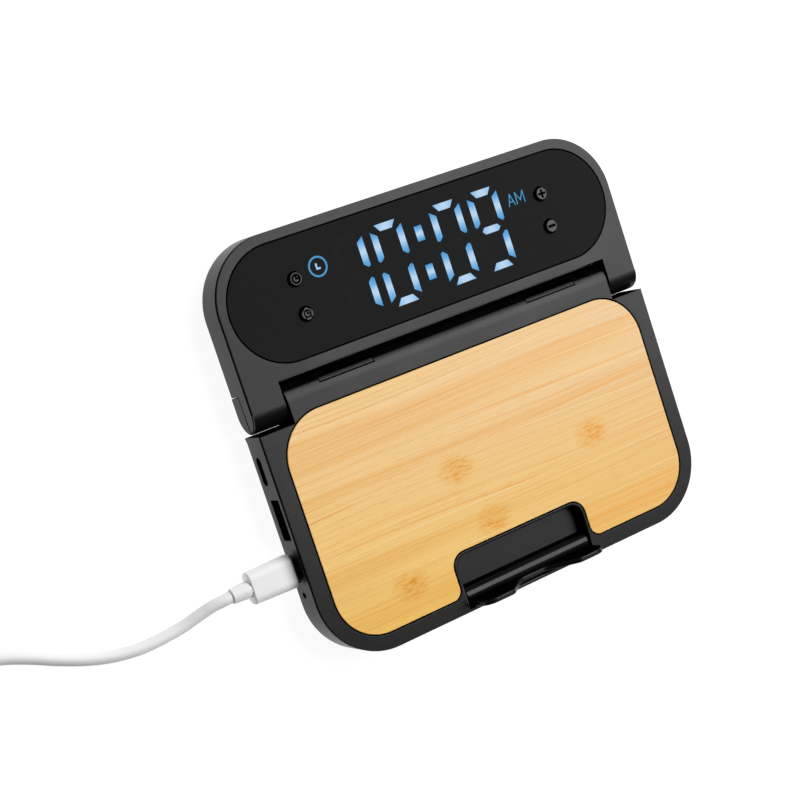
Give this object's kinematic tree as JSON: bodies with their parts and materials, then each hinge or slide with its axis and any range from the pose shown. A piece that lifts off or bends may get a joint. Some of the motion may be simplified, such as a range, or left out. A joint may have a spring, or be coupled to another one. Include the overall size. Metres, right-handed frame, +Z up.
{
  "type": "alarm clock",
  "caption": "Folding digital alarm clock: a hinged display panel on a bamboo-topped charging base with side sockets, a fold-out phone ledge and a coiled cable.",
  "frame": {"origin": "on the table under the middle of the clock opened flat (cable left out), at the bottom of its feet", "axes": "+X to the right along the width and the hinge axis, +Y away from the user from the ledge to the display, +Z up out of the display's face"},
  "size_m": [0.304, 0.135, 0.0223],
  "materials": {
    "cover_plastic": "charcoal ABS with a fine matt spark texture",
    "housing_plastic": "charcoal ABS with a fine matt spark texture",
    "lens_acrylic": "smoked acrylic, satin gloss",
    "button_plastic": "grey-black moulded caps, worn to a slight sheen on top",
    "bamboo": "laid bamboo strips, clear satin varnish",
    "rubber": "matt black rubber",
    "steel": "bright zinc or nickel plated steel",
    "copper": "enamelled copper winding",
    "ferrite": "matt grey-black sintered ferrite",
    "board": "green solder mask over glass-fibre board",
    "black_plastic": "black moulded electronics housings",
    "light_pipe": "milky clear plastic",
    "cable_sheath": "white soft TPE sheath",
    "plug_plastic": "white moulded plug bodies, satin",
    "tie_fabric": "black hook-and-loop tie"
  },
  "bodies": {
    "base": {"base_top_cover": "cover_plastic", "base_housing": "housing_plastic", "bamboo_plate": "bamboo", "base_screw_1": "steel", "base_screw_2": "steel", "base_screw_3": "steel", "base_screw_4": "steel", "base_foot_1": "rubber", "base_foot_2": "rubber", "base_foot_3": "rubber", "base_foot_4": "rubber", "barrel_strip_left": "cover_plastic", "barrel_strip_right": "cover_plastic", "hinge_clip_left": "steel", "hinge_clip_right": "steel", "hinge_wires": "black_plastic", "charging_coil": "copper", "ferrite_sheet": "ferrite", "base_board": "board", "usb_c_socket_upper": "steel", "usb_c_socket_lower": "steel", "usb_a_socket": "steel", "indicator_light_pipe": "light_pipe", "usb_c_plug_sleeve": "steel", "usb_c_plug_body": "plug_plastic", "usb_c_strain_relief": "plug_plastic", "cable_run": "cable_sheath", "cable_coil": "cable_sheath", "cable_tie": "tie_fabric", "cable_tail": "cable_sheath", "usb_a_plug_body": "plug_plastic", "usb_a_plug_sleeve": "steel"},
    "display": {"display_front_cover": "cover_plastic", "display_housing": "housing_plastic", "display_lens": "lens_acrylic", "ear_rear_cover_left": "housing_plastic", "ear_rear_cover_right": "housing_plastic", "ear_screw_left": "steel", "ear_screw_right": "steel", "display_screw_left": "steel", "display_screw_right": "steel", "switch_clock": "black_plastic", "switch_alarm": "black_plastic", "switch_plus": "black_plastic", "switch_minus": "black_plastic", "display_foot_left": "rubber", "display_foot_right": "rubber", "display_board": "board", "digit_module": "black_plastic", "buzzer": "black_plastic", "backup_cell": "steel", "hinge_shaft_left": "steel", "hinge_shaft_right": "steel"},
    "ledge": {"phone_ledge": "cover_plastic", "ledge_pin": "steel"},
    "button_clock": {"button_clock": "button_plastic"},
    "button_alarm": {"button_alarm": "button_plastic"},
    "button_plus": {"button_plus": "button_plastic"},
    "button_minus": {"button_minus": "button_plastic"}
  },
  "joints": [
    {"name": "display_hinge", "type": "hinge", "parent": "base", "child": "display", "pos_m": [0, 0.0163, 0.0068], "axis": [1, 0, 0], "range_deg": [0, 90]},
    {"name": "ledge_fold", "type": "hinge", "parent": "base", "child": "ledge", "pos_m": [0, -0.0626, 0.0098], "axis": [-1, 0, 0], "range_deg": [0, 90]},
    {"name": "button_clock_press", "type": "slide", "parent": "display", "child": "button_clock", "axis": [0, 0, -1], "range_m": [0, 0.0005], "stiffness_N_per_m": 1200, "springref_m": -0.0003},
    {"name": "button_alarm_press", "type": "slide", "parent": "display", "child": "button_alarm", "axis": [0, 0, -1], "range_m": [0, 0.0005], "stiffness_N_per_m": 1200, "springref_m": -0.0003},
    {"name": "button_plus_press", "type": "slide", "parent": "display", "child": "button_plus", "axis": [0, 0, -1], "range_m": [0, 0.0005], "stiffness_N_per_m": 1200, "springref_m": -0.0003},
    {"name": "button_minus_press", "type": "slide", "parent": "display", "child": "button_minus", "axis": [0, 0, -1], "range_m": [0, 0.0005], "stiffness_N_per_m": 1200, "springref_m": -0.0003}
  ]
}
